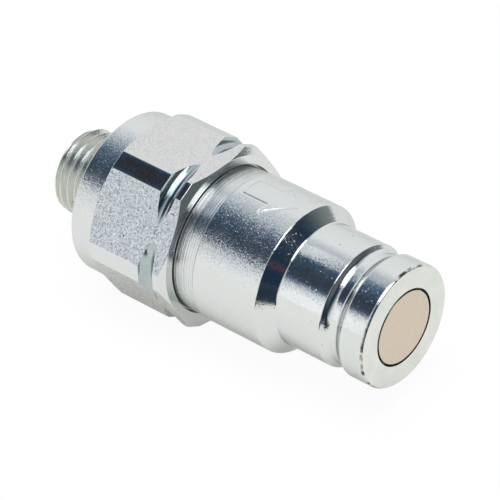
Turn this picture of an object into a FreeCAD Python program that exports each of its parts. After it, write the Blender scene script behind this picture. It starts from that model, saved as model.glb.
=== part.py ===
"""Flat-face hydraulic quick coupler, the plug half, with a hexagon adapter and a male tube-fitting stud.

The coupling axis is X and the nose points along +X.  The origin is on the axis, at the rear shoulder
of the adapter, where the stud begins.  One pair of hexagon flats is level, so the part lies on a flat.
Lengths are in millimetres.
"""

import FreeCAD
import Part

import math
import os

Vector = FreeCAD.Vector

# Adapter, outside
stud_diameter = 14.0            # M14 x 1.5, major diameter
stud_length = 10.0
stud_end_chamfer = 0.8
collar_length = 4.34
collar_step = 0.25              # collar below the flats
hex_length = 15.31              # from the collar to the front face
hex_wall = 1.35                 # flats over the counterbore, which gives 27 across flats
corner_turning = 0.79           # taken off each corner, which leaves 29.6 across corners
hex_rear_chamfer_angle = 30.0   # from the plane across the axis
hex_front_chamfer_angle = 30.0
front_face_step = 0.05          # front face outside the flats, so its chamfer only cuts the corners
mark_groove_from_front = 3.2    # V-groove that only cuts the corners
mark_groove_above_flats = 0.05
mark_groove_half_angle = 45.0

# Adapter, inside
tube_diameter = 8.0             # 24 degree cone end for this tube
socket_clearance = 0.05
socket_depth = 7.0
cone_mouth_step = 1.0           # cone mouth outside the socket
cone_half_angle = 12.0
flow_bore_diameter = 6.0
flow_cone_angle = 59.0          # drill point
counterbore_depth = 1.2
counterbore_gap = 0.3           # the dark ring round the plug body
joint_thread_length = 7.45
pilot_bore_length = 5.0

# Plug body, outside
barrel_diameter = 24.0
barrel_length = 12.25
band_step = 0.15                # finely turned band, below the barrel
band_length = 4.9
joint_shoulder_width = 1.175    # leaves an M22 x 1 joint, drawn at its pitch diameter
thread_gap = 0.05
thread_shoulder_gap = 0.5
pilot_step = 1.195              # pilot bore below the joint's thread
pilot_gap = 0.05
spigot_end_gap = 0.5
spigot_land = 0.9               # behind the joint's seal groove
shoulder_cone_angle = 45.0
nose_diameter = 19.7            # flat-face size 10
nose_length = 16.35
nose_edge_chamfer = 0.3
lock_groove_land = 4.2          # nose in front of the locking groove
lock_groove_width = 3.9
lock_groove_depth = 0.95
lock_groove_rear_angle = 45.0
lock_groove_front_angle = 34.0
lock_groove_root_radius = 0.7

# Plug body, inside
spigot_wall = 1.0               # under the joint's seal groove
seat_width = 0.9                # step from the main bore to the face bore
seat_cone_angle = 45.0
face_bore_length = 4.5
clip_groove_depth = 0.5

# Seals
o_ring_sides = 8                # a round cord drawn with this many flats
seal_gap = 0.02                 # squeezed seals are drawn just clear of their bores
joint_seal_cord = 1.78
joint_seal_squeeze = 0.4
joint_backup_width = 1.1
face_seal_cord = 1.5
face_seal_squeeze = 0.25
face_backup_width = 1.0
groove_side_gap = 0.05

# Poppet
face_gap = 0.3                  # the dark ring round the valve face
poppet_face_land = 1.0
poppet_land_gap = 0.05
flange_gap = 0.2
flange_length = 2.2
poppet_seat_gap = 0.03
flow_flat_margin = 0.1          # the flow flats lie this far outside the spring
flow_flat_count = 3
spring_boss_length = 1.4
stem_diameter = 5.0
stem_rear_overhang = 2.0        # stem past the guide's rear face

# Spring
spring_wire = 1.3
spring_side_gap = 1.5           # between the coils and the main bore
spring_length = 19.83
spring_open_turns = 4
spring_closed_turns = 1         # at each end
spring_closed_gap = 0.08
spring_ground_depth = 0.4       # taken off each end to make it flat
spring_wire_sides = 8
spring_steps_per_turn = 20
spring_seat_gap = 0.02
spring_boss_gap = 0.2           # between the coils and the bosses inside them

# Guide and its clip
guide_length = 5.0
guide_gap = 0.05
guide_rim = 1.0
guide_hub_boss = 1.0            # stands into the spring
guide_arm_width = 2.4
guide_arm_count = 3
guide_arm_length = 3.2          # along the axis
stem_running_gap = 0.05
clip_thickness = 1.0
clip_radial_width = 1.4
clip_gap_angle = 70.0
clip_side_gap = 0.05
clip_outer_gap = 0.05
clip_lug_radius = 1.5
clip_lug_hole_diameter = 1.4

# Diameters that follow from these, from the outside in
band_diameter = barrel_diameter - 2 * band_step
counterbore_diameter = band_diameter + 2 * counterbore_gap
hex_across_flats = counterbore_diameter + 2 * hex_wall
hex_corner_diameter = hex_across_flats * 2 / math.sqrt(3) - 2 * corner_turning
collar_diameter = hex_across_flats - 2 * collar_step
front_face_diameter = hex_across_flats + 2 * front_face_step
mark_groove_root_diameter = hex_across_flats + 2 * mark_groove_above_flats
joint_thread_diameter = band_diameter - 2 * joint_shoulder_width
pilot_bore_diameter = joint_thread_diameter - 2 * pilot_step
pilot_diameter = pilot_bore_diameter - 2 * pilot_gap
joint_groove_diameter = pilot_bore_diameter - 2 * (joint_seal_cord - joint_seal_squeeze)
main_bore_diameter = joint_groove_diameter - 2 * spigot_wall
clip_groove_diameter = main_bore_diameter + 2 * clip_groove_depth
flange_diameter = main_bore_diameter - 2 * flange_gap
spring_mean_diameter = main_bore_diameter - 2 * spring_side_gap - spring_wire
spring_boss_diameter = spring_mean_diameter - spring_wire - 2 * spring_boss_gap
face_bore_diameter = main_bore_diameter - 2 * seat_width
face_groove_diameter = face_bore_diameter - 2 * (face_seal_cord - face_seal_squeeze)
poppet_face_diameter = face_bore_diameter - 2 * face_gap
poppet_land_diameter = face_bore_diameter - 2 * poppet_land_gap


def run(large_diameter, small_diameter, angle):
    """The length along the axis of a cone between two diameters, with its angle from the axis in degrees."""
    return (large_diameter - small_diameter) / 2 / math.tan(math.radians(angle))


# Stations along the axis, from the stud to the nose
hex_start = collar_length + run(hex_corner_diameter, collar_diameter, 90 - hex_rear_chamfer_angle)
adapter_length = collar_length + hex_length
hex_end = adapter_length - run(hex_corner_diameter, front_face_diameter, 90 - hex_front_chamfer_angle)
body_shoulder = adapter_length - counterbore_depth
pilot_bore_end = body_shoulder - joint_thread_length
pilot_bore_start = pilot_bore_end - pilot_bore_length
spigot_end = pilot_bore_start + spigot_end_gap
joint_groove_rear = spigot_end + spigot_land
joint_groove_front = joint_groove_rear + joint_seal_cord + joint_backup_width + 2 * groove_side_gap
band_end = body_shoulder + band_length
barrel_end = band_end + barrel_length
nose_start = barrel_end + run(barrel_diameter, nose_diameter, shoulder_cone_angle)
nose_end = nose_start + nose_length

# Stations inside the body, from the nose back
seat_end = nose_end - face_bore_length
seat_start = seat_end - run(main_bore_diameter, face_bore_diameter, seat_cone_angle)
face_groove_front = nose_end - poppet_face_land
face_groove_rear = face_groove_front - face_seal_cord - face_backup_width - 2 * groove_side_gap
flange_front = seat_start + run(main_bore_diameter, flange_diameter, seat_cone_angle) - poppet_seat_gap
flange_rear = flange_front - flange_length
guide_front = flange_rear - spring_length - 2 * spring_seat_gap
guide_rear = guide_front - guide_length
clip_rear = guide_rear - clip_thickness


def at(x, diameter):
    """A point of a half section: station along the axis, and the diameter there."""
    return Vector(x, 0, diameter / 2)


def turned(*points):
    """The solid that a closed half section sweeps about the X axis."""
    outline = Part.makePolygon(list(points) + [points[0]])
    return Part.Face(outline).revolve(Vector(0, 0, 0), Vector(1, 0, 0), 360)


def turned_wire(edges):
    """The same, from edges that may be arcs."""
    return Part.Face(Part.Wire(edges)).revolve(Vector(0, 0, 0), Vector(1, 0, 0), 360)


def hexagon_prism(start, end, across_flats):
    """A hexagon bar along X with one pair of flats level."""
    corner = across_flats / math.sqrt(3)
    points = []
    for side in range(6):
        angle = math.radians(60 * side)
        points.append(Vector(start, corner * math.cos(angle), corner * math.sin(angle)))
    face = Part.Face(Part.makePolygon(points + [points[0]]))
    return face.extrude(Vector(end - start, 0, 0))


def save(shape, node):
    """Writes one piece to its own file."""
    os.makedirs("parts", exist_ok=True)
    state = "valid" if shape.isValid() else "INVALID"
    print(node, state, "solids", len(shape.Solids), "volume", round(shape.Volume, 1))
    shape.exportStep(os.path.join("parts", node + ".step"))


def rear_adapter():
    """Stud, collar and hexagon, turned from one hexagon bar."""
    hexagon = hexagon_prism(0, adapter_length, hex_across_flats)
    turned_down = turned(
        at(0, 0),
        at(0, collar_diameter),
        at(collar_length, collar_diameter),
        at(hex_start, hex_corner_diameter),
        at(hex_end, hex_corner_diameter),
        at(adapter_length, front_face_diameter),
        at(adapter_length, 0),
    )
    mark_groove_centre = adapter_length - mark_groove_from_front
    mouth_diameter = 2 * hex_corner_diameter - mark_groove_root_diameter
    half_width = run(mouth_diameter, mark_groove_root_diameter, 90 - mark_groove_half_angle)
    mark_groove = turned(
        at(mark_groove_centre, mark_groove_root_diameter),
        at(mark_groove_centre - half_width, mouth_diameter),
        at(mark_groove_centre + half_width, mouth_diameter),
    )
    stud = turned(
        at(-stud_length, 0),
        at(-stud_length, stud_diameter - 2 * stud_end_chamfer),
        at(-stud_length + stud_end_chamfer, stud_diameter),
        at(0, stud_diameter),
        at(0, 0),
    )
    blank = hexagon.common(turned_down).cut(mark_groove).fuse(stud)
    return blank.cut(adapter_passage()).removeSplitter()


def adapter_passage():
    """Everything bored out of the adapter, from the tube cone to the counterbore for the plug body."""
    socket_diameter = tube_diameter + 2 * socket_clearance
    cone_mouth_diameter = socket_diameter + 2 * cone_mouth_step
    cone_end = -stud_length + run(cone_mouth_diameter, socket_diameter, cone_half_angle)
    flow_cone_start = pilot_bore_start - run(main_bore_diameter, flow_bore_diameter, flow_cone_angle)
    return turned(
        at(-stud_length, 0),
        at(-stud_length, cone_mouth_diameter),
        at(cone_end, socket_diameter),
        at(-stud_length + socket_depth, socket_diameter),
        at(-stud_length + socket_depth, flow_bore_diameter),
        at(flow_cone_start, flow_bore_diameter),
        at(pilot_bore_start, main_bore_diameter),
        at(pilot_bore_start, pilot_bore_diameter),
        at(pilot_bore_end, pilot_bore_diameter),
        at(pilot_bore_end, joint_thread_diameter),
        at(body_shoulder, joint_thread_diameter),
        at(body_shoulder, counterbore_diameter),
        at(adapter_length, counterbore_diameter),
        at(adapter_length, 0),
    )


def lock_groove():
    """The ring that is cut from the nose for the locking balls, with a rounded rear corner at its root."""
    root_diameter = nose_diameter - 2 * lock_groove_depth
    groove_front = nose_end - lock_groove_land
    groove_rear = groove_front - lock_groove_width
    rear_foot = at(groove_rear + run(nose_diameter, root_diameter, lock_groove_rear_angle), root_diameter)
    front_foot = at(groove_front - run(nose_diameter, root_diameter, lock_groove_front_angle), root_diameter)
    turn = math.radians(lock_groove_rear_angle)
    setback = lock_groove_root_radius * math.tan(turn / 2)
    rear_wall = Vector(math.cos(turn), 0, -math.sin(turn))
    arc_start = rear_foot - rear_wall * setback
    arc_end = rear_foot + Vector(setback, 0, 0)
    centre = arc_end + Vector(0, 0, lock_groove_root_radius)
    middle_angle = -math.pi / 2 - turn / 2
    arc_middle = centre + Vector(math.cos(middle_angle), 0, math.sin(middle_angle)) * lock_groove_root_radius
    rear_rim = at(groove_rear, nose_diameter)
    front_rim = at(groove_front, nose_diameter)
    above = Vector(0, 0, lock_groove_depth)
    return turned_wire([
        Part.makeLine(rear_rim, arc_start),
        Part.Arc(arc_start, arc_middle, arc_end).toShape(),
        Part.makeLine(arc_end, front_foot),
        Part.makeLine(front_foot, front_rim),
        Part.makeLine(front_rim, front_rim + above),
        Part.makeLine(front_rim + above, rear_rim + above),
        Part.makeLine(rear_rim + above, rear_rim),
    ])


def plug_body():
    """The turned front body: screwed spigot, barrel, shoulder cone and nose, bored right through."""
    thread_start = pilot_bore_end + thread_shoulder_gap
    thread_diameter = joint_thread_diameter - 2 * thread_gap
    outside = turned(
        at(spigot_end, 0),
        at(spigot_end, pilot_diameter),
        at(joint_groove_rear, pilot_diameter),
        at(joint_groove_rear, joint_groove_diameter),
        at(joint_groove_front, joint_groove_diameter),
        at(joint_groove_front, pilot_diameter),
        at(thread_start, pilot_diameter),
        at(thread_start, thread_diameter),
        at(body_shoulder, thread_diameter),
        at(body_shoulder, band_diameter),
        at(band_end, band_diameter),
        at(band_end + band_step, barrel_diameter),
        at(barrel_end, barrel_diameter),
        at(nose_start, nose_diameter),
        at(nose_end - nose_edge_chamfer, nose_diameter),
        at(nose_end, nose_diameter - 2 * nose_edge_chamfer),
        at(nose_end, 0),
    )
    inside = turned(
        at(spigot_end, 0),
        at(spigot_end, main_bore_diameter),
        at(clip_rear - clip_side_gap, main_bore_diameter),
        at(clip_rear - clip_side_gap, clip_groove_diameter),
        at(guide_rear + clip_side_gap, clip_groove_diameter),
        at(guide_rear + clip_side_gap, main_bore_diameter),
        at(seat_start, main_bore_diameter),
        at(seat_end, face_bore_diameter),
        at(nose_end, face_bore_diameter),
        at(nose_end, 0),
    )
    return outside.cut(inside).cut(lock_groove())


def poppet():
    """The flat-faced valve: face, seal groove, seating cone, fluted flange, spring boss and stem."""
    stem_end = guide_rear - stem_rear_overhang
    land_start = flange_front + run(flange_diameter, poppet_land_diameter, seat_cone_angle)
    blank = turned(
        at(stem_end, 0),
        at(stem_end, stem_diameter),
        at(flange_rear - spring_boss_length, stem_diameter),
        at(flange_rear - spring_boss_length, spring_boss_diameter),
        at(flange_rear, spring_boss_diameter),
        at(flange_rear, flange_diameter),
        at(flange_front, flange_diameter),
        at(land_start, poppet_land_diameter),
        at(face_groove_rear, poppet_land_diameter),
        at(face_groove_rear, face_groove_diameter),
        at(face_groove_front, face_groove_diameter),
        at(face_groove_front, poppet_face_diameter),
        at(nose_end, poppet_face_diameter),
        at(nose_end, 0),
    )
    flow_flat_distance = (spring_mean_diameter + spring_wire) / 2 + flow_flat_margin
    for index in range(flow_flat_count):
        block = Part.makeBox(
            flange_length, flange_diameter, flange_diameter,
            Vector(flange_rear, -flange_diameter / 2, flow_flat_distance),
        )
        block.rotate(Vector(0, 0, 0), Vector(1, 0, 0), 360 / flow_flat_count * index)
        blank = blank.cut(block)
    return blank


def o_ring(front, cord, inner_diameter, outer_diameter):
    """A squeezed O-ring: its cord keeps its width along the axis and fills the groove across it."""
    centre_diameter = (inner_diameter + outer_diameter) / 2
    half_height = (outer_diameter - inner_diameter) / 4
    reach = 1 / math.cos(math.pi / o_ring_sides)
    points = []
    for side in range(o_ring_sides):
        angle = 2 * math.pi * (side + 0.5) / o_ring_sides
        x = front - cord / 2 + reach * cord / 2 * math.cos(angle)
        points.append(at(x, centre_diameter + 2 * reach * half_height * math.sin(angle)))
    return turned(*points)


def back_up_ring(front, width, inner_diameter, outer_diameter):
    """A flat ring that keeps the O-ring from being pressed into the gap."""
    return turned(
        at(front - width, inner_diameter),
        at(front - width, outer_diameter),
        at(front, outer_diameter),
        at(front, inner_diameter),
    )


def coil_section(station, angle):
    """The outline of the spring's wire where the coil crosses a plane through the axis."""
    outward = Vector(0, math.sin(angle), math.cos(angle))
    centre = Vector(station, 0, 0) + outward * (spring_mean_diameter / 2)
    reach = spring_wire / 2 / math.cos(math.pi / spring_wire_sides)
    points = []
    for corner in range(spring_wire_sides):
        turn = 2 * math.pi * (corner + 0.5) / spring_wire_sides
        along = Vector(reach * math.cos(turn), 0, 0)
        points.append(centre + along + outward * (reach * math.sin(turn)))
    return Part.makePolygon(points + [points[0]])


def valve_spring():
    """The closing spring: closed and ground ends, open coils between, from the guide to the poppet."""
    begin = guide_front + spring_seat_gap
    end = flange_rear - spring_seat_gap
    wire_start = begin + spring_wire / 2 - spring_ground_depth
    wire_end = end - spring_wire / 2 + spring_ground_depth
    closed_rise = (spring_wire + spring_closed_gap) * spring_closed_turns
    open_pitch = (wire_end - wire_start - 2 * closed_rise) / spring_open_turns
    closed_step = closed_rise / spring_closed_turns / spring_steps_per_turn
    open_step = open_pitch / spring_steps_per_turn
    closed_end = [closed_step] * (spring_closed_turns * spring_steps_per_turn)
    rises = closed_end + [open_step] * (spring_open_turns * spring_steps_per_turn) + closed_end
    station = wire_start
    sections = [coil_section(station, 0)]
    for index, rise in enumerate(rises):
        station += rise
        sections.append(coil_section(station, 2 * math.pi * (index + 1) / spring_steps_per_turn))
    coil = Part.makeLoft(sections, True, True)
    between_seats = Part.makeCylinder(spring_mean_diameter, end - begin, Vector(begin, 0, 0), Vector(1, 0, 0))
    return coil.common(between_seats)


def valve_guide():
    """The spider that carries the poppet's stem: rim, hub and arms, with the flow windows between them."""
    rim_diameter = main_bore_diameter - 2 * guide_gap
    rim_bore_diameter = rim_diameter - 2 * guide_rim
    hub_bore_diameter = stem_diameter + 2 * stem_running_gap
    rim = turned(
        at(guide_rear, rim_bore_diameter),
        at(guide_rear, rim_diameter),
        at(guide_front, rim_diameter),
        at(guide_front, rim_bore_diameter),
    )
    hub = turned(
        at(guide_rear, hub_bore_diameter),
        at(guide_rear, spring_boss_diameter),
        at(guide_front + guide_hub_boss, spring_boss_diameter),
        at(guide_front + guide_hub_boss, hub_bore_diameter),
    )
    arm_start = (hub_bore_diameter + spring_boss_diameter) / 4
    arm_end = (rim_bore_diameter + rim_diameter) / 4
    arms = []
    for index in range(guide_arm_count):
        arm = Part.makeBox(
            guide_arm_length, guide_arm_width, arm_end - arm_start,
            Vector(guide_front - guide_arm_length, -guide_arm_width / 2, arm_start),
        )
        arm.rotate(Vector(0, 0, 0), Vector(1, 0, 0), 360 / guide_arm_count * index)
        arms.append(arm)
    return rim.fuse([hub] + arms).removeSplitter()


def guide_retaining_ring():
    """An internal circlip: a flat open ring with an eyed lug at each end."""
    outer_radius = clip_groove_diameter / 2 - clip_outer_gap
    inner_radius = outer_radius - clip_radial_width
    axis = Vector(1, 0, 0)
    origin = Vector(clip_rear, 0, 0)
    ring = Part.makeCylinder(outer_radius, clip_thickness, origin, axis)
    ring = ring.cut(Part.makeCylinder(inner_radius, clip_thickness, origin, axis))
    half_gap = math.radians(clip_gap_angle / 2)
    reach = 2 * outer_radius
    gap_outline = Part.makePolygon([
        origin,
        origin + Vector(0, -math.sin(half_gap), -math.cos(half_gap)) * reach,
        origin + Vector(0, 0, -2 * reach),
        origin + Vector(0, math.sin(half_gap), -math.cos(half_gap)) * reach,
        origin,
    ])
    ring = ring.cut(Part.Face(gap_outline).extrude(axis * clip_thickness))
    lug_distance = outer_radius - clip_lug_radius - clip_outer_gap - clip_groove_depth
    lug_angle = half_gap + clip_lug_radius / lug_distance
    for side in (-1, 1):
        centre = origin + Vector(0, side * math.sin(lug_angle), -math.cos(lug_angle)) * lug_distance
        ring = ring.fuse(Part.makeCylinder(clip_lug_radius, clip_thickness, centre, axis))
        ring = ring.cut(Part.makeCylinder(clip_lug_hole_diameter / 2, clip_thickness, centre, axis))
    return ring.removeSplitter()


def joint_o_ring():
    """Seals the screwed joint between the plug body and the adapter."""
    front = joint_groove_rear + groove_side_gap + joint_seal_cord
    return o_ring(front, joint_seal_cord, joint_groove_diameter, pilot_bore_diameter - 2 * seal_gap)


def joint_back_up_ring():
    """Sits in front of the joint's O-ring, away from the pressure."""
    front = joint_groove_front - groove_side_gap
    return back_up_ring(front, joint_backup_width, joint_groove_diameter, pilot_bore_diameter - 2 * seal_gap)


def poppet_o_ring():
    """Seals the poppet in the face bore."""
    front = face_groove_rear + groove_side_gap + face_seal_cord
    return o_ring(front, face_seal_cord, face_groove_diameter, face_bore_diameter - 2 * seal_gap)


def poppet_back_up_ring():
    """Sits in front of the poppet's O-ring, away from the pressure."""
    front = face_groove_front - groove_side_gap
    return back_up_ring(front, face_backup_width, face_groove_diameter, face_bore_diameter - 2 * seal_gap)


save(rear_adapter(), "rear_adapter")
save(plug_body(), "plug_body")
save(joint_o_ring(), "joint_o_ring")
save(joint_back_up_ring(), "joint_back_up_ring")
save(poppet(), "poppet")
save(poppet_o_ring(), "poppet_o_ring")
save(poppet_back_up_ring(), "poppet_back_up_ring")
save(valve_spring(), "valve_spring")
save(valve_guide(), "valve_guide")
save(guide_retaining_ring(), "guide_retaining_ring")
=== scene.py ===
# %% [markdown]
# # Dressing the plug half of a flat-face hydraulic coupler
#
# The part is a turned steel plug with a hexagon adapter behind it, all of it zinc plated. Its solids come
# ready made, in metres, with the coupling axis along X and the nose towards +X. This lesson frames and
# lights them as a catalogue picture would, and gives them their true edges, thread and finish. The first
# cell loads the solids as a fixed frame and keeps the size of their box.

# %% Load the fixed frame
import math

import bmesh
import bpy
import numpy as np
from mathutils import Matrix, Vector


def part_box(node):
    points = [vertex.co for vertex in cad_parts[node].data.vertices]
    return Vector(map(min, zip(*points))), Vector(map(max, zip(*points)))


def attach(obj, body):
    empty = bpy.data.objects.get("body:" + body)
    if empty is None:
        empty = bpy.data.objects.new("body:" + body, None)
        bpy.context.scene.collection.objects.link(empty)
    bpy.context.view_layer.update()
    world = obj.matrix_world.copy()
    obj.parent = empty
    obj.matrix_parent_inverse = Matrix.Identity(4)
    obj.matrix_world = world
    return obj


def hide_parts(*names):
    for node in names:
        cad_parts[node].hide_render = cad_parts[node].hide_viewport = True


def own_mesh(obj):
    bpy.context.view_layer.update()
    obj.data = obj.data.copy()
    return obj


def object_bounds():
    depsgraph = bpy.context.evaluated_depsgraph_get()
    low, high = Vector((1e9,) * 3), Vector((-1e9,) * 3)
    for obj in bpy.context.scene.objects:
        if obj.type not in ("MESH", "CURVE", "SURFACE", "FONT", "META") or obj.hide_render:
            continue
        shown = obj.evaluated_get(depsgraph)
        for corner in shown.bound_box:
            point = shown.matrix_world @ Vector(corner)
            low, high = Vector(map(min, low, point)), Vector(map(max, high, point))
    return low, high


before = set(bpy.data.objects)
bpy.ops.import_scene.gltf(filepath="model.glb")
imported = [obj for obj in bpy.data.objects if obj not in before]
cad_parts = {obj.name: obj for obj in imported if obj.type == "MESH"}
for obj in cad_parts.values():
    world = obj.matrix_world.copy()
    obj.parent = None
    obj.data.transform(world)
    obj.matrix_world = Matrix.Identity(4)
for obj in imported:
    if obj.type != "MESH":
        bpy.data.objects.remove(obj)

MM = 0.001
cad_low, cad_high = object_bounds()
print("nodes", sorted(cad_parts))
print("box in mm", [round(size / MM, 2) for size in cad_high - cad_low])

# %% [markdown]
# ## The camera
#
# A small part is shot from far off with a long lens, so that parallel edges stay nearly parallel. The view
# is a turn about the vertical, a height above the horizon and a small roll, and the camera's axes follow
# from those. An aiming constraint would also work, but it can't give the roll. Distances are in mm.

# %% Place the camera
camera_turn = math.radians(42.0)
camera_height = math.radians(37.45)
camera_roll = math.radians(-2.36)
camera_distance = 484.2
camera_lens = 231.6
sensor_width = 36.0
aim_point = Vector((24.8, 0.0, 0.0))
aim_left = 0.233
aim_up = 0.271

level_right = Vector((math.cos(camera_turn), math.sin(camera_turn), 0))
towards_camera = Vector((
    math.sin(camera_turn) * math.cos(camera_height),
    -math.cos(camera_turn) * math.cos(camera_height),
    math.sin(camera_height),
))
level_up = towards_camera.cross(level_right)
right = level_right * math.cos(camera_roll) + level_up * math.sin(camera_roll)
up = level_up * math.cos(camera_roll) - level_right * math.sin(camera_roll)
eye = (aim_point + towards_camera * camera_distance - right * aim_left + up * aim_up) * MM

camera = bpy.data.objects.new("camera", bpy.data.cameras.new("camera"))
camera.data.sensor_width = sensor_width
camera.data.lens = camera_lens
camera.data.clip_start = 0.01
camera.matrix_world = Matrix.Translation(eye) @ Matrix((right, up, towards_camera)).transposed().to_4x4()
bpy.context.scene.collection.objects.link(camera)
bpy.context.scene.camera = camera
bpy.context.scene.view_settings.view_transform = "Standard"
print("camera at", [round(value, 3) for value in eye])

# %% [markdown]
# ## Three helpers for every material
#
# Colours are sRGB hex values, as a paint chart gives them, and one function turns them into the linear
# values that the renderer works in. A second adds a node with its settings and links, so that a material
# reads as a list of what it is made of. A third starts a material.

# %% Colour and node helpers
def linear(hex_colour):
    """An sRGB hex colour as linear red, green, blue and alpha."""
    channels = [int(hex_colour[start:start + 2], 16) / 255 for start in (1, 3, 5)]
    return tuple(c / 12.92 if c <= 0.04045 else ((c + 0.055) / 1.055) ** 2.4 for c in channels) + (1.0,)


def add_node(tree, kind, settings=None, links=None):
    """Adds a shader node; settings go to its own properties or its sockets, links to its sockets."""
    node = tree.nodes.new("ShaderNode" + kind)
    for key, value in (settings or {}).items():
        if isinstance(key, str) and hasattr(node, key):
            setattr(node, key, value)
        else:
            node.inputs[key].default_value = value
    for key, source in (links or {}).items():
        tree.links.new(source, node.inputs[key])
    return node


def new_material(name):
    """A new material and its node tree."""
    material = bpy.data.materials.new(name)
    material.use_nodes = True
    return material, material.node_tree


print("white is", linear("#FFFFFF"))

# %% [markdown]
# ## The studio
#
# Bright plating has hardly any colour of its own: what the eye sees is the room. This one is white with a
# few darker things in it. The dark studio in front of the nose fills the shoulder cone and fades to a grey
# wall on the right, and a low cupboard shows in the hexagon's chamfer. A blue flag up on the left draws the
# navy bands along the barrel, a small board fills the strip on the hexagon's corner, and a brownish patch
# warms one spot of the cone. A picture of a room could be wrapped round the scene, but a soft-edged disc of
# directions, found with a dot product, moves by one number. Rounded edges sweep past the white between the
# zones and get thin white lines. The camera sees only white.

# %% Build the room as a world
room_white = linear("#FFFFFF")
room_zones = (
    # name, colour, turn from +X towards +Y, height, inner and outer radius, all angles in degrees
    ("grey wall", "#8A9090", 30.0, 5.0, 44.0, 47.0),
    ("dark studio", "#1F344A", -10.0, 25.0, 30.0, 80.0),
    ("low cupboard", "#646E6B", 14.0, 2.0, 28.0, 34.0),
    ("pale wall", "#AEBAC6", -165.0, 56.5, 5.0, 39.0),
    ("blue flag", "#3D5B7A", -142.9, 48.9, 21.0, 31.0),
    ("lower flag", "#35424F", -135.4, 42.6, 6.0, 20.0),
    ("dark board", "#332E2A", -158.9, 52.6, 2.2, 4.2),
    ("brown patch", "#5A4850", -24.6, 20.4, 1.5, 5.0),
)


def direction(turn, height):
    """The unit vector at a turn from +X towards +Y and a height above the horizon, in degrees."""
    turn = math.radians(turn)
    height = math.radians(height)
    return (math.cos(turn) * math.cos(height), math.sin(turn) * math.cos(height), math.sin(height))


world = bpy.data.worlds.new("studio")
bpy.context.scene.world = world
world.use_nodes = True
tree = world.node_tree
background = tree.nodes["Background"]
ray = add_node(tree, "TexCoord").outputs["Generated"]
path = add_node(tree, "LightPath")
room = None
for name, colour, turn, height, inner, outer in room_zones:
    nearness = add_node(
        tree, "VectorMath", {"operation": "DOT_PRODUCT", 1: direction(turn, height)}, {0: ray})
    inside = add_node(
        tree, "MapRange",
        {"interpolation_type": "SMOOTHSTEP",
         "From Min": math.cos(math.radians(outer)), "From Max": math.cos(math.radians(inner))},
        {"Value": nearness.outputs["Value"]})
    mixed = add_node(
        tree, "Mix", {"label": name, "data_type": "RGBA", 6: room_white, 7: linear(colour)},
        {0: inside.outputs["Result"]})
    if room is not None:
        tree.links.new(room, mixed.inputs[6])
    room = mixed.outputs[2]
seen = add_node(
    tree, "Mix", {"data_type": "RGBA", 7: room_white}, {0: path.outputs["Is Camera Ray"], 6: room})
tree.links.new(seen.outputs[2], background.inputs["Color"])
print("zones of the room", [zone[0] for zone in room_zones])

# %% [markdown]
# ## White paper
#
# The part lies on white paper. Lamps that make it pure white would wash out the part, so Light Path lets
# the paper shine a little for the camera and for reflections, while a share of it stays matt and keeps the
# soft shadow. In the metal it is a touch warm, as real paper is.

# %% Lay the paper
# half the sheet's side is in metres, and its drop below the part in mm
paper_half_size = 0.45
paper_drop = 0.02
paper_matt = "#F4F3EF"
paper_tint_for_metal = "#FFFDF8"
paper_glow_for_camera = 0.94
paper_glow_for_metal = 0.45


def flat_sheet(name, corners):
    """A single four-sided sheet on the set."""
    mesh = bpy.data.meshes.new(name)
    mesh.from_pydata(corners, [], [(0, 1, 2, 3)])
    sheet = bpy.data.objects.new(name, mesh)
    bpy.context.scene.collection.objects.link(sheet)
    return sheet


floor_height = cad_low.z - paper_drop * MM
paper = flat_sheet("paper", [
    (along * paper_half_size, across * paper_half_size, floor_height)
    for along, across in ((-1, -1), (1, -1), (1, 1), (-1, 1))
])
white_paper, tree = new_material("white_paper")
tree.nodes.remove(tree.nodes["Principled BSDF"])
path = add_node(tree, "LightPath")
for_camera = add_node(
    tree, "Math", {"operation": "MULTIPLY", 1: paper_glow_for_camera},
    {0: path.outputs["Is Camera Ray"]})
mirrored = add_node(
    tree, "Math", {"operation": "MAXIMUM"},
    {0: path.outputs["Is Glossy Ray"], 1: path.outputs["Is Transmission Ray"]})
glow = add_node(
    tree, "Math", {"operation": "MULTIPLY_ADD", 1: paper_glow_for_metal},
    {0: mirrored.outputs[0], 2: for_camera.outputs[0]})
matt = add_node(tree, "BsdfDiffuse", {"Color": linear(paper_matt)})
tint = add_node(
    tree, "Mix", {"data_type": "RGBA", 6: linear(paper_tint_for_metal), 7: linear("#FFFFFF")},
    {0: path.outputs["Is Camera Ray"]})
shine = add_node(tree, "Emission", {"Strength": 1.0}, {"Color": tint.outputs[2]})
blend = add_node(
    tree, "MixShader", {},
    {0: glow.outputs[0], 1: matt.outputs[0], 2: shine.outputs[0]})
tree.links.new(blend.outputs[0], tree.nodes["Material Output"].inputs["Surface"])
paper.data.materials.append(white_paper)
print("floor at z", round(floor_height / MM, 2), "mm")

# %% [markdown]
# ## Cards that only the metal sees
#
# A photographer shapes bright metal with cards outside the picture. These glow, and only reflections see
# them. Three lie in front, where the table would be, and darken the lower ends of the shoulder cone and the
# locking groove. Three hang above and to the left: a strip light for the bright band under the nose's dark
# one, a small card for the streak at the rear of the nose, and a blue one for the lower part of the
# barrel's band. Colours painted on the part would stay put when it turns.

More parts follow.
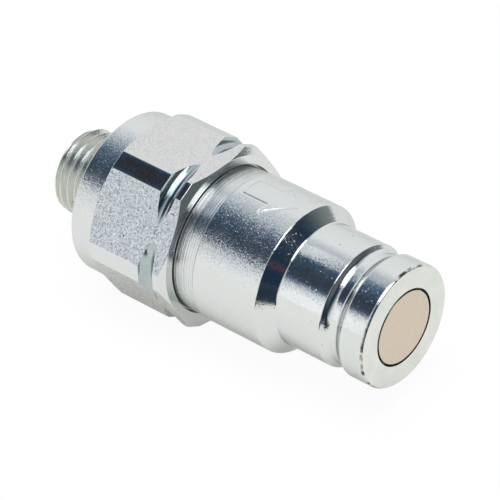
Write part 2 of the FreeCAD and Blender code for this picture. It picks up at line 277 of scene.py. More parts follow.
# %% Set out the cards
table_cards = (
    # name, colour, reach towards the camera from and to, place across from left to right, in mm
    ("table_card_edge", "#9AA1A6", 55, 60, -60, 200),
    ("table_card_front", "#2A3946", 60, 1500, -60, 200),
    ("table_card_right", "#626C6A", 60, 1500, 200, 1500),
)
hung_cards = (
    # name, colour, strength, then corners in mm
    ("strip_light", "#FFFFFF", 1.25,
     ((-64, -172, 0), (-40, -172, 0), (-40, -172, 70), (-64, -172, 70))),
    ("small_white_card", "#FFFFFF", 1.05,
     ((-16, -17, 93), (-5, -17, 93), (-5, 20, 93), (-16, 20, 93))),
    ("blue_card", "#7F9AB2", 1.0,
     ((-92, -164, 40), (-70, -164, 40), (-70, -164, 112), (-92, -164, 112))),
)
card_lift = 0.5


def reflected_card(name, colour, strength, corners):
    """A glowing card that only reflections see."""
    card = flat_sheet(name, corners)
    board, tree = new_material(name)
    tree.nodes.remove(tree.nodes["Principled BSDF"])
    shine = add_node(tree, "Emission", {"Color": linear(colour), "Strength": strength})
    tree.links.new(shine.outputs[0], tree.nodes["Material Output"].inputs["Surface"])
    card.data.materials.append(board)
    card.visible_camera = False
    card.visible_diffuse = False
    card.visible_shadow = False


front = Vector((math.sin(camera_turn), -math.cos(camera_turn), 0))
side = Vector((-front.y, front.x, 0))
card_base = Vector((aim_point.x * MM, 0, floor_height + card_lift * MM))
for name, colour, near_edge, far_edge, left_edge, right_edge in table_cards:
    reflected_card(name, colour, 1.0, [
        card_base + (front * reach + side * across) * MM
        for reach, across in (
            (near_edge, left_edge), (near_edge, right_edge), (far_edge, right_edge), (far_edge, left_edge))
    ])
for name, colour, strength, corners in hung_cards:
    reflected_card(name, colour, strength, [Vector(corner) * MM for corner in corners])
print("cards", len(table_cards) + len(hung_cards))

# %% [markdown]
# ## Lamps
#
# A large softbox hangs overhead. A second lamp beside it lights the paper and stays out of the metal, and a
# round ceiling panel beyond the nose puts bright streaks in the grooves and on the front lip. Area lamps
# give the soft shadow of a light tent, where a point or a sun would give a hard one.

# %% Hang the lamps
lamps = (
    # name, shape, size in metres, place in metres, watts, whether it shows in the metal
    ("softbox", "SQUARE", 0.5, (0.0, -0.15, 0.8), 1.1, True),
    ("paper_light", "SQUARE", 0.5, (0.0, -0.15, 0.82), 3.0, False),
    ("ceiling_panel", "DISK", 0.58, (0.391, -0.059, 0.706), 1.75, True),
)
for name, shape, size, place, watts, in_metal in lamps:
    lamp = bpy.data.objects.new(name, bpy.data.lights.new(name, "AREA"))
    lamp.data.shape = shape
    lamp.data.size = size
    lamp.data.energy = watts
    lamp.location = place
    lamp.rotation_euler = Vector(place).to_track_quat("Z", "Y").to_euler()
    lamp.visible_glossy = in_metal
    bpy.context.scene.collection.objects.link(lamp)
print("lamps", [lamp[0] for lamp in lamps])

# %% [markdown]
# ## Zinc plate
#
# The steel is zinc plated and clear passivated: a silver-white metal with a cold blue cast, where the thin
# clear film adds faint clouds of teal and lilac. It hides no tool mark, so it looks different on each
# surface, and one recipe with a few settings serves them all. Its colour is two film tones in clouds, with
# dark stains. A stain is the middle of a Voronoi cell, so small ones keep apart.

# %% Colour and sheen of the plate
plate_teal = "#D8DEDB"
plate_lilac = "#DBDCDF"
plate_edge = "#E1E3E2"
plate_stain = "#55504C"
# where a stain starts to fade and where it ends, as shares of its radius
stain_fade = (0.6, 1.4)
patch_share = 0.4
patch_range = (0.3, 0.7)
sheen_range = (0.8, 1.25)


def plate_colour(tree, place, film, cloud_size, stains):
    """The plate's colour: clouds of two film tones, then stains with a spacing and a radius in mm."""
    spacing, radius = stains
    clouds = add_node(
        tree, "TexNoise", {"Scale": 1 / (cloud_size * MM), "Detail": 3.0}, {"Vector": place})
    tinted = add_node(
        tree, "Mix", {"data_type": "RGBA", 6: linear(film[0]), 7: linear(film[1])},
        {0: clouds.outputs["Fac"]})
    cells = add_node(tree, "TexVoronoi", {"Scale": 1 / (spacing * MM)}, {"Vector": place})
    stain = add_node(
        tree, "MapRange",
        {"From Min": stain_fade[1] * radius / spacing, "From Max": stain_fade[0] * radius / spacing},
        {"Value": cells.outputs["Distance"]})
    coloured = add_node(
        tree, "Mix", {"data_type": "RGBA", 7: linear(plate_stain)},
        {0: stain.outputs["Result"], 6: tinted.outputs[2]})
    return coloured.outputs[2]


def plate_sheen(tree, place, roughness, cloud_size):
    """The plate's roughness, a little duller and sharper in patches."""
    patches = add_node(
        tree, "TexNoise", {"Scale": 1 / (patch_share * cloud_size * MM), "Detail": 5.0},
        {"Vector": place})
    sheen = add_node(
        tree, "MapRange",
        {"From Min": patch_range[0], "From Max": patch_range[1],
         "To Min": sheen_range[0] * roughness, "To Max": sheen_range[1] * roughness},
        {"Value": patches.outputs["Fac"]})
    return sheen.outputs["Result"]


print("film", linear(plate_teal)[:3], linear(plate_lilac)[:3])

# %% [markdown]
# ## Tool marks under the plate
#
# Four kinds of mark show through: lines from turning, grain from the bar, small dents from handling, and
# scratches. Lines and scratches are bump, with a height in mm. Grain and dents lean the normal by a slope
# instead, because so small a bump depends on how large a pixel is. Marks under about 0.15 mm would vanish
# in the picture, so the finest are drawn about twice as coarse as they are.

# %% Relief of the plate
# how far the colours of a noise texture stray from their middle
noise_spread = 0.12
# where a dent starts to flatten and where it ends, as shares of the spacing
dent_edge = (0.2, 0.3)
scratch_width = 0.07
scratch_length = 3.0
scratch_lay = (0.9, 0.4, 0.7)
# the noise values at which a scratch starts and is at full depth
scratch_edge = (0.66, 0.74)


def plate_relief(tree, place, lines, grain, dents, scratches):
    """The plate's normal: turned lines, grain that is steeper in dents, then scratches."""
    station = add_node(tree, "SeparateXYZ", {}, {"Vector": place})
    count = add_node(
        tree, "Math", {"operation": "MULTIPLY", 1: 1 / (lines[0] * MM)}, {0: station.outputs["X"]})
    turned = add_node(
        tree, "TexNoise", {"noise_dimensions": "1D", "Scale": 1.0, "Detail": 2.0},
        {"W": count.outputs[0]})
    lined = add_node(
        tree, "Bump", {"Distance": lines[1] * MM}, {"Height": turned.outputs["Fac"]})
    specks = add_node(
        tree, "TexNoise", {"Scale": 1 / (grain[0] * MM), "Detail": 2.0}, {"Vector": place})
    lean = add_node(
        tree, "VectorMath", {"operation": "SUBTRACT", 1: (0.5, 0.5, 0.5)},
        {0: specks.outputs["Color"]})
    knocks = add_node(tree, "TexVoronoi", {"Scale": 1 / (dents[0] * MM)}, {"Vector": place})
    steepness = add_node(
        tree, "MapRange",
        {"From Min": dent_edge[0], "From Max": dent_edge[1],
         "To Min": max(dents[1], grain[1]) / noise_spread, "To Max": grain[1] / noise_spread},
        {"Value": knocks.outputs["Distance"]})
    tilt = add_node(
        tree, "VectorMath", {"operation": "SCALE"},
        {0: lean.outputs[0], "Scale": steepness.outputs["Result"]})
    leaning = add_node(
        tree, "VectorMath", {"operation": "ADD"}, {0: lined.outputs["Normal"], 1: tilt.outputs[0]})
    grained = add_node(tree, "VectorMath", {"operation": "NORMALIZE"}, {0: leaning.outputs[0]})
    stretched = add_node(
        tree, "Mapping",
        {"Rotation": scratch_lay,
         "Scale": (1 / (scratch_width * MM), 1 / (scratch_length * MM), 1 / (scratch_width * MM))},
        {"Vector": place})
    streaks = add_node(tree, "TexNoise", {"Scale": 1.0}, {"Vector": stretched.outputs["Vector"]})
    cut = add_node(
        tree, "MapRange",
        {"From Min": scratch_edge[0], "From Max": scratch_edge[1], "To Min": 1.0, "To Max": 0.0},
        {"Value": streaks.outputs["Fac"]})
    scratched = add_node(
        tree, "Bump", {"Distance": scratches * MM},
        {"Height": cut.outputs["Result"], "Normal": grained.outputs[0]})
    return scratched.outputs["Normal"]


print("scratches", scratch_width, "mm wide and", scratch_length, "mm long")

# %% [markdown]
# ## One plate for each machined surface
#
# Each surface of the real part was made in its own way, and gets the recipe with its own marks. One plate
# all over would be quicker, but then the part looks moulded in one go.

# %% Zinc plate over any machined surface
def zinc_plate(
        name, roughness, lines=(0.25, 0.0), grain=(0.2, 0.0), dents=(1.0, 0.0), scratches=0.0,
        stains=(2.6, 0.085), film=(plate_teal, plate_lilac), cloud_size=7.0):
    """Zinc plated steel with marks in mm: the spacing and height of lines, the size and slope of grain
    and dents, the height of scratches, the spacing and radius of stains, the size of clouds."""
    material, tree = new_material(name)
    shader = tree.nodes["Principled BSDF"]
    shader.inputs["Metallic"].default_value = 1.0
    shader.inputs["Specular Tint"].default_value = linear(plate_edge)
    place = add_node(tree, "TexCoord").outputs["Object"]
    tree.links.new(plate_colour(tree, place, film, cloud_size, stains), shader.inputs["Base Color"])
    tree.links.new(plate_sheen(tree, place, roughness, cloud_size), shader.inputs["Roughness"])
    tree.links.new(plate_relief(tree, place, lines, grain, dents, scratches), shader.inputs["Normal"])
    return material


# turned smooth: sharp reflections with a few knocks
zinc_turned = zinc_plate(
    "zinc_plate_turned", 0.12, lines=(0.22, 0.002), grain=(0.16, 0.02), dents=(0.7, 0.08), scratches=0.002)
# a nose that has been pushed into sockets: sharp, with scratches and small dark pits
zinc_nose = zinc_plate(
    "zinc_plate_worked_nose", 0.12, lines=(0.22, 0.002), grain=(0.16, 0.022), dents=(0.6, 0.1),
    scratches=0.003, stains=(1.9, 0.1))
# a worn edge: dull, with dark flecks where the plate is gone
zinc_worn = zinc_plate("zinc_plate_worn_edge", 0.25, grain=(0.2, 0.1), stains=(1.3, 0.56))
# an end faced on the lathe: even silver with soft clouds
zinc_face = zinc_plate(
    "zinc_plate_faced_end", 0.14, grain=(0.16, 0.02), stains=(1.7, 0.05), film=("#CBD8D5", "#EDE8E4"),
    cloud_size=2.2)
# a band that shows its fine feed lines: they draw reflections out lengthwise
zinc_band = zinc_plate("zinc_plate_fine_turned", 0.16, lines=(0.2, 0.06), grain=(0.16, 0.03))
# a barrel knocked by hands and tools: a grainy edge to every reflection
zinc_barrel = zinc_plate(
    "zinc_plate_handled", 0.18, lines=(0.25, 0.002), grain=(0.17, 0.07), dents=(0.3, 0.15), scratches=0.002)
# flats as the bar was drawn: a satin grey without clear reflections
zinc_flats = zinc_plate(
    "zinc_plate_drawn_bar", 0.24, grain=(0.2, 0.2), film=("#D6DEDB", "#E1DADC"), cloud_size=3.5)
# flats that the drawing die left rougher: pebbles that glitter
zinc_pebbled = zinc_plate(
    "zinc_plate_pebbled_bar", 0.28, grain=(0.28, 0.36), film=("#CFD9DE", "#D6D8DE"), cloud_size=3.5)
# corners turned down: nearly a mirror
zinc_corner = zinc_plate("zinc_plate_turned_corner", 0.08, lines=(0.22, 0.002), grain=(0.2, 0.02))
# a rolled thread: a soft sheen, slightly yellow
zinc_thread = zinc_plate(
    "zinc_plate_rolled_thread", 0.22, grain=(0.2, 0.04), film=("#DADFDA", "#D8D8D2"), cloud_size=2.5)
# bores: coarse lines that break up reflections
zinc_bore = zinc_plate("zinc_plate_bored", 0.3, lines=(0.3, 0.02))
# grooves where the film has pooled: clear tints of teal and lilac
zinc_groove = zinc_plate(
    "zinc_plate_pooled_film", 0.14, lines=(0.2, 0.004), film=("#93B4AE", "#C6BEC8"), cloud_size=1.1)
print("plates", [m.name for m in bpy.data.materials if m.name.startswith("zinc_plate")])

# %% [markdown]
# ## Plain materials
#
# The other materials need less: two close tones in clouds and a fine grain. The first is painted shade:
# the steel in the narrow gap round the valve face is coloured nearly black.

# %% Plain materials, and the painted shade in the gap
def plain_material(name, tones, metallic, sheen, cloud, grit, height, grit_detail=4.0):
    """A material with clouds of two tones and of two roughnesses; cloud, grit and height are in mm."""
    material, tree = new_material(name)
    shader = tree.nodes["Principled BSDF"]
    shader.inputs["Metallic"].default_value = metallic
    place = add_node(tree, "TexCoord").outputs["Object"]
    clouds = add_node(
        tree, "TexNoise", {"Scale": 1 / (cloud * MM), "Detail": 4.0}, {"Vector": place})
    tone = add_node(
        tree, "Mix", {"data_type": "RGBA", 6: linear(tones[0]), 7: linear(tones[1])},
        {0: clouds.outputs["Fac"]})
    tree.links.new(tone.outputs[2], shader.inputs["Base Color"])
    dullness = add_node(
        tree, "MapRange", {"To Min": sheen[0], "To Max": sheen[1]},
        {"Value": clouds.outputs["Fac"]})
    tree.links.new(dullness.outputs["Result"], shader.inputs["Roughness"])
    grain = add_node(
        tree, "TexNoise", {"Scale": 1 / (grit * MM), "Detail": grit_detail}, {"Vector": place})
    bump = add_node(tree, "Bump", {"Distance": height * MM}, {"Height": grain.outputs["Fac"]})
    tree.links.new(bump.outputs["Normal"], shader.inputs["Normal"])
    return material


# painted shade: the gap's steel is coloured nearly black, so the gap reads as a thin dark ring
gap_painted_shade = plain_material(
    "gap_steel_painted_shade", ("#191714", "#2B2823"), 1.0, (0.32, 0.48), 0.3, 0.3, 0.004)
print(gap_painted_shade.name)

# %% [markdown]
# ## Turned outlines with broken edges
#
# A lathe leaves every edge slightly rounded, and those rounds catch the thin bright lines that make turned
# metal look real. A modifier could bevel the solids, but the hexagon's curved chamfers confuse it. Here
# each piece is a grid instead: an outline of stations and radii, one for each angle round the axis. A
# corner is rounded by a short quadratic curve that starts and ends a small setback from it.

# %% Outlines with rounded corners
def outline_grid(corners, columns):
    """Corners of station, radius and setback as one grid; each value is a number or one for each column."""
    stations_and_radii = [
        [np.broadcast_to(station, columns), np.broadcast_to(radius, columns)]
        for station, radius, setback in corners
    ]
    return np.array(stations_and_radii).transpose(0, 2, 1), [setback for station, radius, setback in corners]


def rounded(corners, setbacks, steps=4, longest_share=0.45):
    """Rounds the corners of closed outlines; a corner with no setback stays a single row."""
    rows = []
    for number, (corner, setback) in enumerate(zip(corners, setbacks)):
        if setback == 0:
            rows.append(corner)
            continue
        behind = corners[number - 1] - corner
        ahead = corners[(number + 1) % len(corners)] - corner
        behind_length = np.linalg.norm(behind, axis=-1, keepdims=True)
        ahead_length = np.linalg.norm(ahead, axis=-1, keepdims=True)
        reach = np.minimum(setback, longest_share * np.minimum(behind_length, ahead_length))
        start = corner + behind / behind_length * reach
        end = corner + ahead / ahead_length * reach
        for share in np.linspace(0, 1, steps + 1):
            rows.append((1 - share) ** 2 * start + 2 * share * (1 - share) * corner + share ** 2 * end)
    return np.array(rows)


square = rounded(*outline_grid([(0, 1, 0.1), (1, 1, 0.1), (1, 2, 0.1), (0, 2, 0.1)], 1))
print("a square outline with its corners rounded has", len(square), "rows")

# %% [markdown]
# ## From outlines to meshes
#
# Bright metal shows the smallest fault in shading, so each point also gets its true normal, worked out from
# the slope of the outline and the turn round the axis. Shading by the mesh's own faces would be simpler,
# but it leaves faint ripples beside every small round.

# %% Grids round the axis
def carried_round(outline, angles):
    """The points of outlines carried round the X axis, and the true normals there."""
    axial = np.array((1.0, 0.0, 0.0))
    outward = np.stack([0 * angles, np.cos(angles), np.sin(angles)], axis=-1)
    sideways = np.stack([0 * angles, -np.sin(angles), np.cos(angles)], axis=-1)
    points = outline[..., :1] * axial + outline[..., 1:] * outward
    along = np.roll(outline, -1, axis=0) - np.roll(outline, 1, axis=0)
    all_round = np.concatenate([angles[-1:] - 2 * math.pi, angles, angles[:1] + 2 * math.pi])
    repeated = np.concatenate([outline[:, -1:], outline, outline[:, :1]], axis=1)
    change = np.gradient(repeated, all_round, axis=1)[:, 1:-1]
    lengthwise = along[..., :1] * axial + along[..., 1:] * outward
    roundwise = change[..., :1] * axial + change[..., 1:] * outward + outline[..., 1:] * sideways
    normals = np.cross(roundwise, lengthwise)
    return points, normals / np.maximum(np.linalg.norm(normals, axis=-1, keepdims=True), 1e-9)


def grid_mesh(name, points, normals=None, closed=True):
    """A mesh from points in mm, shaped (row, column, 3); columns always join up, rows where closed."""
    rows, columns = points.shape[:2]
    number = np.arange(rows * columns).reshape(rows, columns)
    ahead = np.roll(number, -1, axis=0)
    quads = np.stack([number, np.roll(number, -1, axis=1), np.roll(ahead, -1, axis=1), ahead], axis=-1)
    if not closed:
        quads = quads[:-1]
    mesh = bpy.data.meshes.new(name)
    mesh.from_pydata((points.reshape(-1, 3) * MM).tolist(), [], quads.reshape(-1, 4).tolist())
    mesh.shade_smooth()
    if normals is not None:
        mesh.normals_split_custom_set_from_vertices(normals.reshape(-1, 3).tolist())
    return mesh


def add_piece(mesh, body, slot, *nodes):
    """Puts a finished mesh in the scene on its body, in place of the solids that it stands for."""
    piece = bpy.data.objects.new(mesh.name, mesh)
    bpy.context.scene.collection.objects.link(piece)
    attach(piece, body)
    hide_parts(*nodes)
    print(mesh.name, len(mesh.polygons), "faces")
    return piece


# %% [markdown]
# ## The plug body
#
# The front body is one turned piece: a spigot inside the adapter, a finely turned band, the barrel, a 45
# degree shoulder, and the nose with its locking groove. Its outline runs forward along the outside and back
# through the bore. Stations and radii are in millimetres from the adapter's rear shoulder.

# %% Sizes of the plug body
nose_end = 54.1
nose_radius = 9.85
nose_edge_run = 0.34
nose_edge_drop = 0.2
barrel_radius = 12.0
barrel_start = 23.5
barrel_end = 35.6
band_radius = 11.85
band_start = 18.45
band_end = 23.35
nose_start = barrel_end + barrel_radius - nose_radius
lock_rear = 46.0
lock_front = 49.9
lock_depth = 0.95
lock_wall_run = 0.5
lock_wall_depth = 0.68
lock_root_run = 1.05
lock_front_angle = 34.0
lock_front_run = lock_depth / math.tan(math.radians(lock_front_angle))
face_bore = 6.2
# the station where the painted shade on the gap's steel starts
gap_shade_start = 53.2
seat_front = 49.6
seat_rear = 48.7
main_bore = 7.1
clip_groove_front = 21.85
clip_groove_rear = 20.75
clip_groove_radius = 7.6
spigot_end = 6.5
spigot_radius = 9.43
seal_groove_rear = 7.4
seal_groove_front = 10.38
seal_groove_radius = 8.1
joint_thread_start = 11.5
joint_thread_radius = 10.625
print("shoulder ends at", round(nose_start, 2), "mm")

# %% Outline of the plug body
rear_corners = [
    # station, radius, setback of the rounding
    (spigot_end, spigot_radius, 0.1),
    (seal_groove_rear, spigot_radius, 0.08),
    (seal_groove_rear, seal_groove_radius, 0.2),
    (seal_groove_front, seal_groove_radius, 0.2),
    (seal_groove_front, spigot_radius, 0.08),
    (joint_thread_start, spigot_radius, 0.2),
    (joint_thread_start, joint_thread_radius, 0.2),
    (band_start, joint_thread_radius, 0.1),
    (band_start, band_radius, 0.1),
    (band_end, band_radius, 0.04),
    (barrel_start, barrel_radius, 0.06),
]
front_corners = [
    (barrel_end, barrel_radius, 0.16),
    (nose_start, nose_radius, 0.22),
    (lock_rear, nose_radius, 0.14),
    (lock_rear + lock_wall_run, nose_radius - lock_wall_depth, 0.25),
    (lock_rear + lock_root_run, nose_radius - lock_depth, 0.3),
    (lock_front - lock_front_run, nose_radius - lock_depth, 0.3),
    (lock_front, nose_radius, 0.14),
    (nose_end - nose_edge_run, nose_radius, 0.26),
    (nose_end, nose_radius - nose_edge_drop, 0.12),
    (nose_end, face_bore, 0.12),
    (gap_shade_start, face_bore, 0),
    (seat_front, face_bore, 0.1),
    (seat_rear, main_bore, 0.1),
    (clip_groove_front, main_bore, 0.05),
    (clip_groove_front, clip_groove_radius, 0.05),
    (clip_groove_rear, clip_groove_radius, 0.05),
    (clip_groove_rear, main_bore, 0.05),
    (spigot_end, main_bore, 0.15),
]
print("corners", len(rear_corners) + len(front_corners), "length", nose_end - spigot_end, "mm")

# %% [markdown]
# ## The flow arrow
#
# A plain outlined arrow is pressed into the barrel and points to the nose, the way the oil flows. A bump
# texture would do from afar, but a pressed line has a real depth and throws up a low rim, so it is cut in
# the mesh: the grid is finer under the arrow, and each point sinks by how near it lies to the outline.

# %% Draw the arrow on the unrolled barrel
# the angle is in degrees from +Y towards +Z, the rest in mm
arrow_angle = 86.3
arrow_tail = 24.6
arrow_neck = 29.36
arrow_tip = 33.9
arrow_shaft_half_width = 2.2
arrow_head_half_width = 4.1

arrow_outline = np.array([
    (arrow_tail, arrow_shaft_half_width),
    (arrow_neck, arrow_shaft_half_width),
    (arrow_neck, arrow_head_half_width),
    (arrow_tip, 0.0),
    (arrow_neck, -arrow_head_half_width),
    (arrow_neck, -arrow_shaft_half_width),
    (arrow_tail, -arrow_shaft_half_width),
])


def distance_to(outline, points):
    """How far each point lies from a closed outline of straight lines."""
    nearest = np.full(points.shape[:-1], np.inf)
    for start, end in zip(outline, np.roll(outline, -1, axis=0)):
        line = end - start
        share = np.clip((points - start) @ line / (line @ line), 0, 1)
        nearest = np.minimum(nearest, np.linalg.norm(points - start - share[..., None] * line, axis=-1))
    return nearest


print("arrow", round(arrow_tip - arrow_tail, 2), "mm long")

# %% Press it into the barrel
mark_width = 0.17
mark_depth = 0.075
mark_margin = 0.6
mark_row_step = 0.1
# the rim's height as a share of the depth, its distance and width in widths of the mark
rim_share = 0.22
rim_distance = 1.9
rim_width = 0.6
# degrees round the axis
mark_reach = 22.5
fine_step = 0.4
coarse_step = 1.5

fine = np.arange(arrow_angle - mark_reach, arrow_angle + mark_reach, fine_step)
coarse = np.arange(arrow_angle + mark_reach, arrow_angle + 360 - mark_reach, coarse_step)
plug_angles = np.radians(np.concatenate([fine, coarse]))
marked_stations = np.arange(arrow_tail - mark_margin, arrow_tip + mark_margin, mark_row_step)
marked_rows = [(station, barrel_radius, 0) for station in marked_stations]
plug_outline = rounded(*outline_grid(rear_corners + marked_rows + front_corners, len(plug_angles)))

arc = barrel_radius * (plug_angles - math.radians(arrow_angle))
unrolled = np.stack([plug_outline[..., 0], np.broadcast_to(arc, plug_outline.shape[:2])], axis=-1)
near = distance_to(arrow_outline, unrolled) / mark_width
pressed = np.exp(-near ** 2) - rim_share * np.exp(-((near - rim_distance) / rim_width) ** 2)
on_barrel = np.isclose(plug_outline[..., 1], barrel_radius, atol=1e-3)
plug_outline[..., 1] -= np.where(on_barrel, mark_depth * pressed, 0)
print("columns", len(plug_angles), "rows", len(plug_outline))

# %% [markdown]
# ## Painting by place
#
# One mesh can wear several materials: each face holds the number of a slot. Each surface was cut in its own
# pass, so a finish belongs to a range of stations and radii, and the middle of a face says which it is. One
# object for each finish would leave seams. Later rules paint over earlier ones, and the worn edge also
# depends on the angle, because the nose was knocked on two sides only.

# %% Paint and place the plug body
def paint(mesh, finishes, rules):
    """Gives faces their finishes: the first all over, then each rule's own where its faces are true."""
    for finish in finishes:
        mesh.materials.append(finish)
    slots = np.zeros(rules[0][1].shape, dtype=np.int32)
    for finish, faces in rules:
        slots[faces] = finishes.index(finish)
    mesh.polygons.foreach_set("material_index", slots.ravel())


def face_middles(outline):
    """The station and radius at the middle of each face."""
    middle = (outline + np.roll(outline, -1, axis=0)) / 2
    return middle[..., 0], middle[..., 1]


# degrees from +Y towards +Z
worn_arcs = ((62, 101), (148, 240))
band_limit = band_end + 0.05
under_band = joint_thread_radius + 0.3
under_barrel = barrel_radius - 0.3
under_nose = nose_radius - 0.1
bore_limit = main_bore + 0.6
bore_mouth = nose_end - 0.2
gap_wall = face_bore + 0.08
face_plane = nose_end - 0.02
face_rim = face_bore + 0.1
edge_start = nose_end - 0.45
under_edge = nose_radius - 0.22
joint_limit = joint_thread_radius + 0.1

station, radius = face_middles(plug_outline)
plug_degrees = np.degrees(plug_angles) % 360
worn_columns = np.any([(plug_degrees > start) & (plug_degrees < end) for start, end in worn_arcs], axis=0)
plug_mesh = grid_mesh("plug_body_finished", *carried_round(plug_outline, plug_angles))
plug_finishes = (
    zinc_turned, zinc_band, zinc_barrel, zinc_bore, zinc_nose, zinc_worn, gap_painted_shade, zinc_face)
paint(plug_mesh, plug_finishes, (
    (zinc_band, (station < band_limit) & (radius > under_band)),
    (zinc_barrel, (station > band_limit) & (station < barrel_end) & (radius > under_barrel)),
    (zinc_nose, (station > nose_start) & (radius > under_nose)),
    (zinc_bore, (radius < bore_limit) & (station < bore_mouth)),
    # painted shade: the steel in the gap round the valve face is coloured nearly black
    (gap_painted_shade, (station > gap_shade_start) & (radius < gap_wall)),
    (zinc_face, (station > face_plane) & (radius > face_rim)),
    (zinc_worn, (station > edge_start) & (radius > under_edge) & worn_columns),
    (zinc_bore, (station < band_start) & (radius < joint_limit)),
))
add_piece(plug_mesh, "body", "zinc_plated_steel", "plug_body")

# %% [markdown]
# ## The hexagon adapter
#
# The adapter is turned from hexagon bar: collar, chamfered hexagon with its corners turned down, a round
# groove that only cuts the corners, and a threaded stud. Where a plane flat meets a turned cone the edge is
# a curve, and it comes out right by itself when every column of the grid has its own outline: the flat's
# radius grows from its middle to the corner, and each chamfer starts where its cone reaches that radius.

# %% Columns round the hexagon
flat_distance = 13.5
corner_turning = 0.79
corner_radius = 2 * flat_distance / math.sqrt(3) - corner_turning
edge_softness = 0.02
half_flat = math.degrees(math.acos(flat_distance / corner_radius))
corner_distance = corner_radius * math.cos(math.radians(30 - half_flat))
edge_columns = np.array([-0.5, -0.25, 0.0, 0.25, 0.5])
edge_width = edge_columns[-1]
flat_steps = 34
corner_steps = 6
columns = []
for side_number in range(6):
    centre = 30 + 60 * side_number
    flat_end = centre + half_flat
    corner_end = centre + 60 - half_flat
    columns.extend(np.linspace(centre - half_flat + edge_width, flat_end - edge_width, flat_steps)[1:-1])
    columns.extend(flat_end + edge_columns)
    columns.extend(np.linspace(flat_end + edge_width, corner_end - edge_width, corner_steps)[1:-1])
    columns.extend(corner_end + edge_columns)
hex_degrees = np.array(columns)
hex_angles = np.radians(hex_degrees)
from_flat = hex_degrees % 60 - 30
flat_radius = flat_distance / np.cos(np.radians(from_flat))
facet_radius = corner_distance / np.cos(np.radians(30 - np.abs(from_flat)))
hex_radius = -edge_softness * np.logaddexp(-flat_radius / edge_softness, -facet_radius / edge_softness)
print("columns", len(hex_angles), "flat reaches", round(half_flat, 2), "degrees either side")

# %% [markdown]
# ## Groove and bores of the adapter
#
# The groove is a row of arcs that fade out where the flat lies below its root. Behind the hexagon's front
# face are the counterbore, the joint's plain bores and a drilled flow bore, and the stud ends in a cone and
# a socket for a tube. A boolean cut would make these too, but it leaves long thin faces that shade badly.

# %% Groove across the corners
collar_radius = 13.25
collar_length = 4.34
adapter_length = 19.65
front_face_radius = 13.55
least_chamfer = 0.06
front_radius = np.minimum(front_face_radius, hex_radius - least_chamfer)
chamfer_angle = 30.0
chamfer_slope = math.tan(math.radians(chamfer_angle))
groove_station = 16.45
groove_root = 13.55
groove_radius = 1.45
least_groove = 0.1
groove_steps = 17
groove_depth = np.maximum(hex_radius - groove_root, 0)
groove_half_width = np.maximum(np.sqrt(groove_depth * (2 * groove_radius - groove_depth)), least_groove)
groove_rows = []
for share in np.linspace(-1, 1, groove_steps)[1:-1]:
    across = groove_half_width * math.sin(0.5 * math.pi * share)
    bottom = groove_root + groove_radius - np.sqrt(groove_radius ** 2 - across ** 2)
    groove_rows.append((groove_station + across, np.minimum(hex_radius, bottom), 0))
print("groove up to", round(groove_depth.max(), 2), "mm deep")

# %% Outline of the adapter
stud_radius = 7.0
stud_length = 10.0
counterbore = 12.15
joint_bore = 10.675
joint_bore_end = 11.0
pilot_bore = 9.48
pilot_bore_end = 6.0
flow_bore = 3.0
tube_socket = 4.05
socket_end = -3.0
cone_mouth = 5.05
drill_half_angle = 59.0
tube_cone_half_angle = 12.0
flow_cone_run = (main_bore - flow_bore) / math.tan(math.radians(drill_half_angle))
flow_cone_start = pilot_bore_end - flow_cone_run
tube_cone_run = (cone_mouth - tube_socket) / math.tan(math.radians(tube_cone_half_angle))
tube_cone_end = -stud_length + tube_cone_run

adapter_corners = [
    # station, radius, setback of the rounding; a station or radius may differ from column to column
    (0.0, stud_radius, 0.15),
    (0.0, collar_radius, 0.25),
    (collar_length, collar_radius, 0.08),
    (collar_length + (hex_radius - collar_radius) * chamfer_slope, hex_radius, 0.08),
    (groove_station - groove_half_width, hex_radius, 0.06),
    *groove_rows,
    (groove_station + groove_half_width, hex_radius, 0.06),
    (adapter_length - (hex_radius - front_radius) * chamfer_slope, hex_radius, 0.08),
    (adapter_length, front_radius, 0.06),
    (adapter_length, counterbore, 0.12),
    (band_start, counterbore, 0.1),
    (band_start, joint_bore, 0.1),
    (joint_bore_end, joint_bore, 0.1),
    (joint_bore_end, pilot_bore, 0.2),
    (pilot_bore_end, pilot_bore, 0.1),
    (pilot_bore_end, main_bore, 0.1),
    (flow_cone_start, flow_bore, 0.2),
    (socket_end, flow_bore, 0.1),
    (socket_end, tube_socket, 0.1),
    (tube_cone_end, tube_socket, 0.3),
    (-stud_length, cone_mouth, 0.12),
]
print("corners", len(adapter_corners))

# %% [markdown]
# ## The stud's thread
#
# The stud has a rolled M14 x 1.5 thread. Its form is a 60 degree V, cut off at the crest and at the root,
# and it climbs one pitch for each turn. Rows of points along the stud take their radius from where they
# stand in that climb, so the helix needs no sweep and no boolean. The thread starts on a chamfer and dies
# out before the shoulder, as a die leaves it.

# %% Roll the thread
thread_pitch = 1.5
thread_rows_per_pitch = 22
thread_depth = 0.6134 * thread_pitch
pitch_line_drop = 0.3248 * thread_pitch
v_height = 0.866 * thread_pitch
crest_softness = 0.03
stud_chamfer = 0.8
last_row = -0.2
run_out = (-1.4, -0.5)

stud_stations = np.arange(-stud_length, last_row, thread_pitch / thread_rows_per_pitch)[:, None]
climb = stud_stations / thread_pitch - hex_angles[None, :] / (2 * math.pi)
wave = np.abs(2 * (climb % 1.0) - 1)
sharp_v = stud_radius - pitch_line_drop + v_height * (wave - 0.5)
crest_cut = -crest_softness * np.logaddexp(-sharp_v / crest_softness, -stud_radius / crest_softness)
thread_radius = np.maximum(crest_cut, stud_radius - thread_depth)
fade = np.clip((run_out[1] - stud_stations) / (run_out[1] - run_out[0]), 0, 1)
thread_radius = stud_radius - (stud_radius - thread_radius) * fade
end_chamfer = stud_radius - stud_chamfer + stud_stations + stud_length
thread_radius = np.minimum(thread_radius, np.maximum(end_chamfer, 0))
stud_rows = [(station, radius, 0) for station, radius in zip(stud_stations, thread_radius)]
print("thread rows", len(stud_rows), "depth", round(thread_depth, 2), "mm")

